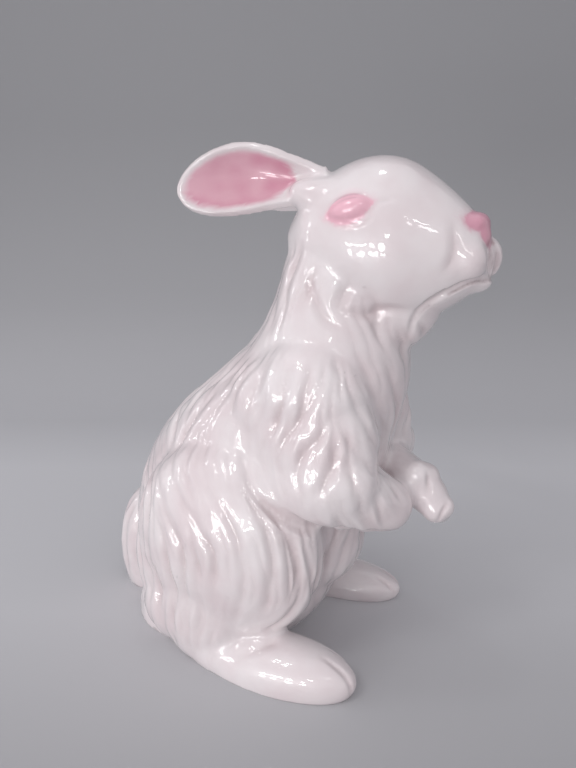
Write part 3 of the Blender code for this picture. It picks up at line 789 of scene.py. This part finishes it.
def paint(points, normals, groove_shade, lips):
    """The glaze's colour at each point of the surface, with shade painted into the valleys, folds and the
    parting of the lips.
    """
    colours = np.tile(np.array(WHITE), (len(points), 1))
    mottle = np.array([noise.noise(Vector(point) / MOTTLE_SIZE) for point in points])

    def blend(colour, share):
        colours[:] += (np.array(colour) - colours) * np.clip(share, 0.0, 1.0)[:, None]

    # Painted shade: the valleys of the fur and the folds are greyed by their depth.
    blend(GROOVE_PAINTED_SHADE, groove_shade)
    # Painted shade: the parting of the lips is darkened by its depth.
    blend(MOUTH_PAINTED_SHADE, lips * LIP_SHADE_SHARE)
    for side in (-1, 1):
        share, deep = ear_share(points, normals, side)
        blend(EAR_PINK, share)
        blend(EAR_DEEP_PINK, share * np.clip(deep * EAR_DEEPENING + mottle * EAR_MOTTLE, 0.0, 1.0))
        eye = almond(points, side)
        blend(EYE_PINK, HALO_SHARE * smooth_step(*EYE_HALO, eye))
        blend(EYE_PINK, smooth_step(*EYE_EDGE, eye))
    nose = np.min([within(points, *mass) for mass in NOSE], axis=0)
    blend(NOSE_PINK, HALO_SHARE * smooth_step(*NOSE_HALO, nose))
    blend(NOSE_PINK, smooth_step(*NOSE_EDGE, nose))
    for centre, radii in NOSTRIL_SPOTS:
        blend(NOSTRIL, NOSTRIL_SHARE * smooth_step(*NOSTRIL_EDGE, within(points, centre, radii, 0)))
    return colours


def cut_base(item):
    """Cuts the figure off flat at Z = 0 and closes the cut."""
    mesh = bmesh.new()
    mesh.from_mesh(item.data)
    parts = mesh.verts[:] + mesh.edges[:] + mesh.faces[:]
    cut = bmesh.ops.bisect_plane(mesh, geom=parts, dist=CUT_TOLERANCE, plane_co=(0, 0, 0),
                                 plane_no=(0, 0, 1), clear_inner=True)
    rim = [edge for edge in cut["geom_cut"] if isinstance(edge, bmesh.types.BMEdge)]
    bmesh.ops.holes_fill(mesh, edges=rim, sides=0)
    bmesh.ops.recalc_face_normals(mesh, faces=mesh.faces[:])
    mesh.to_mesh(item.data)
    mesh.free()


def reduce_triangles(item):
    """Keeps the surface under its greatest number of triangles."""
    item.data.calc_loop_triangles()
    fewer = item.modifiers.new("fewer", "DECIMATE")
    fewer.ratio = min(TRIANGLES / len(item.data.loop_triangles), 1.0)
    return apply_modifiers(item)


def lay_out_fur():
    """The lines of the locks and of the finer strands, laid out on the CAD solid's surface."""
    plain = whole_figure(VOXEL)
    for side in (-1, 1):
        carve_folds(plain.data, {**FOLDS, **TOE_FOLDS}, side)
    carve_folds(plain.data, PAW_FOLDS, 1)
    lock_lines = locks(plain.data, FUR_STROKES, LOCK_SPACING, LOCK_LENGTH, LOCK_SEED)
    strand_lines = locks(plain.data, {}, STRAND_SPACING, STRAND_LENGTH, STRAND_SEED)
    bpy.data.objects.remove(plain, do_unlink=True)
    return lock_lines, strand_lines


def carve_all_folds(mesh):
    """Carves folds, lids and lips, and gives how deep each point lies in a fold and in the lips."""
    folds = np.zeros(len(mesh.vertices))
    for side in (-1, 1):
        folds = np.maximum(folds, carve_folds(mesh, {**FOLDS, **TOE_FOLDS}, side))
        carve_folds(mesh, LID_LINES, side)
    folds = np.maximum(folds, carve_folds(mesh, PAW_FOLDS, 1))
    lips = np.zeros(len(mesh.vertices))
    for side in (-1, 1):
        lips = np.maximum(lips, carve_folds(mesh, LIP_LINES, side))
    return folds, lips


def carve_fur(mesh, points, lock_lines, strand_lines):
    """Sinks the locks, strands and swells, and gives the depths of the locks and the strands."""
    share = np.array([fur_share(point) for point in points])
    lock_depths = valley_depths(points, *valley_points(lock_lines, LOCK_POINT_STEP), LOCK_HALF_WIDTH)
    strand_points = valley_points(strand_lines, STRAND_POINT_STEP)
    strand_depths = valley_depths(points, *strand_points, STRAND_SPACING / 2)
    patches = np.array([noise.noise(Vector(point) / PATCH_SIZE) for point in points])
    relief = share * (PATCH_DEPTH + (1 - PATCH_DEPTH) * smooth_step(*PATCH_EDGE, patches))
    lock_depths *= relief
    strand_depths *= relief
    depths = lock_depths * LOCK_DEPTH * GLAZED_DEPTH + strand_depths * STRAND_DEPTH
    sink(mesh, depths + swells(points, share) + GLAZE_INSET)
    return lock_depths, strand_depths


def rabbit_surface():
    """The finished surface, with the glaze's colour and its painted shade stored on it."""
    lock_lines, strand_lines = lay_out_fur()
    item = whole_figure(FINE_VOXEL)
    folds, lips = carve_all_folds(item.data)
    points = vertex_array(item.data, "co")
    lock_depths, strand_depths = carve_fur(item.data, points, lock_lines, strand_lines)
    # Painted shade, stronger where the valleys and folds are deeper.
    groove_shade = LOCK_SHADE_SHARE * lock_depths + STRAND_SHADE_SHARE * strand_depths + FOLD_SHADE_SHARE * folds
    store_colours(item.data, paint(points, vertex_array(item.data, "normal"), groove_shade, lips))
    item = soften(item, GLAZE_SMOOTHING)
    item = reduce_triangles(item)
    cut_base(item)
    return item


def store_colours(mesh, colours):
    layer = mesh.attributes.new(COLOUR_AND_SHADE_LAYER, "FLOAT_COLOR", "POINT")
    values = np.concatenate((colours, np.ones((len(colours), 1))), axis=1)
    layer.data.foreach_set("color", values.astype(np.float32).ravel())


def glaze_material():
    """Glossy ceramic glaze: a clear hard coat over colour that varies a little."""
    material = bpy.data.materials.new("glazed_ceramic")
    material.use_nodes = True
    nodes, links = material.node_tree.nodes, material.node_tree.links
    shader = nodes["Principled BSDF"]
    colour = nodes.new("ShaderNodeAttribute")
    colour.attribute_name = COLOUR_AND_SHADE_LAYER
    places = nodes.new("ShaderNodeTexCoord")
    clouds = nodes.new("ShaderNodeTexNoise")
    clouds.inputs["Scale"].default_value = CLOUD_SCALE
    clouds.inputs["Detail"].default_value = CLOUD_DETAIL
    tones = nodes.new("ShaderNodeValToRGB")
    for stop, (place, tint) in zip(tones.color_ramp.elements, CLOUD_TONES):
        stop.position = place
        stop.color = tint
    mix = nodes.new("ShaderNodeMix")
    mix.data_type = "RGBA"
    mix.blend_type = "MULTIPLY"
    mix.inputs["Factor"].default_value = 1.0
    links.new(places.outputs["Object"], clouds.inputs["Vector"])
    links.new(clouds.outputs["Fac"], tones.inputs["Fac"])
    links.new(colour.outputs["Color"], mix.inputs["A"])
    links.new(tones.outputs["Color"], mix.inputs["B"])
    links.new(mix.outputs["Result"], shader.inputs["Base Color"])
    ripples = nodes.new("ShaderNodeTexNoise")
    ripples.inputs["Scale"].default_value = RIPPLE_SCALE
    ripples.inputs["Detail"].default_value = RIPPLE_DETAIL
    bump = nodes.new("ShaderNodeBump")
    bump.inputs["Strength"].default_value = RIPPLE_STRENGTH
    bump.inputs["Distance"].default_value = RIPPLE_HEIGHT
    links.new(places.outputs["Object"], ripples.inputs["Vector"])
    links.new(ripples.outputs["Fac"], bump.inputs["Height"])
    links.new(bump.outputs["Normal"], shader.inputs["Normal"])
    links.new(bump.outputs["Normal"], shader.inputs["Coat Normal"])
    shader.inputs["Roughness"].default_value = GLAZE_ROUGHNESS
    shader.inputs["Coat Weight"].default_value = 1.0
    shader.inputs["Coat Roughness"].default_value = COAT_ROUGHNESS
    return material


def make_rabbit():
    rabbit = rabbit_surface()
    rabbit.data.transform(Matrix.Scale(MM, 4) @ Matrix.Translation((0, -MIDDLE_Y, 0)))
    rabbit.name = "glazed_rabbit"
    rabbit.data.materials.clear()
    rabbit.data.materials.append(glaze_material())
    rabbit.data.shade_smooth()
    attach(rabbit, "root")
    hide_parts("rabbit")


def make_stage():
    """A pale floor that curves up into a plain wall behind the figure, with painted light and shade on it."""
    way = Vector((CAMERA_WAY[0], CAMERA_WAY[1], 0)).normalized()
    across = Vector((way.y, -way.x, 0))
    profile = [(STAGE_FRONT, 0.0)]
    profile += [(distance, 0.0) for distance in np.linspace(STAGE_NEAR, STAGE_BEND, STAGE_NEAR_ROWS)]
    for angle in np.linspace(0, math.pi / 2, STAGE_BEND_ROWS):
        profile.append((STAGE_BEND * (1 + math.sin(angle)), STAGE_BEND * (1 - math.cos(angle))))
    profile.append((STAGE_BEND * 2, STAGE_TOP))
    mesh = bmesh.new()
    rows = []
    for distance, height in profile:
        middle = way * distance + Vector((0, 0, height))
        spans = (-STAGE_HALF_WIDTH, STAGE_HALF_WIDTH)
        rows.append([mesh.verts.new(middle + across * span) for span in spans])
    for near, far in zip(rows, rows[1:]):
        mesh.faces.new((near[0], near[1], far[1], far[0]))
    sheet = mesh_object("floor", mesh)
    # Painted light and shade: brightest a little behind the figure, darker towards the front and up the wall.
    tones = np.interp([distance + height for distance, height in profile], *zip(*STAGE_PAINTED_LIGHT))
    store_colours(sheet.data, np.outer(np.repeat(tones, 2), STAGE_COLOUR))
    sheet.data.shade_smooth()
    material = bpy.data.materials.new("floor")
    material.use_nodes = True
    shader = material.node_tree.nodes["Principled BSDF"]
    painted_light_node = material.node_tree.nodes.new("ShaderNodeAttribute")
    painted_light_node.attribute_name = COLOUR_AND_SHADE_LAYER
    material.node_tree.links.new(painted_light_node.outputs["Color"], shader.inputs["Base Color"])
    shader.inputs["Roughness"].default_value = STAGE_ROUGHNESS
    sheet.data.materials.append(material)


def area_light(name, matrix, size, power, colour):
    data = bpy.data.lights.new(name, "AREA")
    data.shape = "RECTANGLE"
    data.size, data.size_y = size
    data.energy = power
    data.color = colour
    lamp = bpy.data.objects.new(name, data)
    lamp.matrix_world = matrix
    bpy.context.scene.collection.objects.link(lamp)


def make_lights():
    """Windows with panes, which break the highlights up, and a soft ceiling."""
    widest, narrowing = PANE_WIDTHS
    for name, place, (columns, rows), (width, height), gap, power, colour in LIGHTS:
        way = Vector((0, 0, LIT_HEIGHT)) - Vector(place)
        window = Matrix.Translation(place) @ way.to_track_quat("-Z", "Y").to_matrix().to_4x4()
        for column in range(columns):
            for row in range(rows):
                across = (column - (columns - 1) / 2) * (width + gap)
                upward = (row - (rows - 1) / 2) * (height + gap)
                pane = window @ Matrix.Translation((across, upward, 0))
                share = PANE_SHARES[(column * rows + row) % len(PANE_SHARES)]
                size = (width * (widest - narrowing * share), height * share)
                area_light(f"{name}_{column}_{row}", pane, size, power / (columns * rows), colour)


def make_room():
    """The even light of the room around the stage."""
    world = bpy.data.worlds.new("studio")
    world.use_nodes = True
    world.node_tree.nodes["Background"].inputs["Color"].default_value = ROOM_COLOUR
    world.node_tree.nodes["Background"].inputs["Strength"].default_value = ROOM_STRENGTH
    bpy.context.scene.world = world
    bpy.context.scene.view_settings.view_transform = "Standard"


def make_camera():
    """The photograph's camera."""
    data = bpy.data.cameras.new("camera")
    data.sensor_width = SENSOR_MM
    data.lens = FOCAL_PIXELS / IMAGE_HEIGHT * SENSOR_MM
    camera = bpy.data.objects.new("camera", data)
    forward = Vector(CAMERA_WAY).normalized()
    right = forward.cross(Vector((0, 0, 1))).normalized()
    turn = Matrix((right, right.cross(forward), -forward)).transposed()
    place = Vector(CAMERA_PLACE) - Vector((0, MIDDLE_Y * MM, 0))
    camera.matrix_world = Matrix.Translation(place) @ turn.to_4x4()
    bpy.context.scene.collection.objects.link(camera)
    bpy.context.scene.camera = camera


make_rabbit()
make_stage()
make_lights()
make_room()
make_camera()
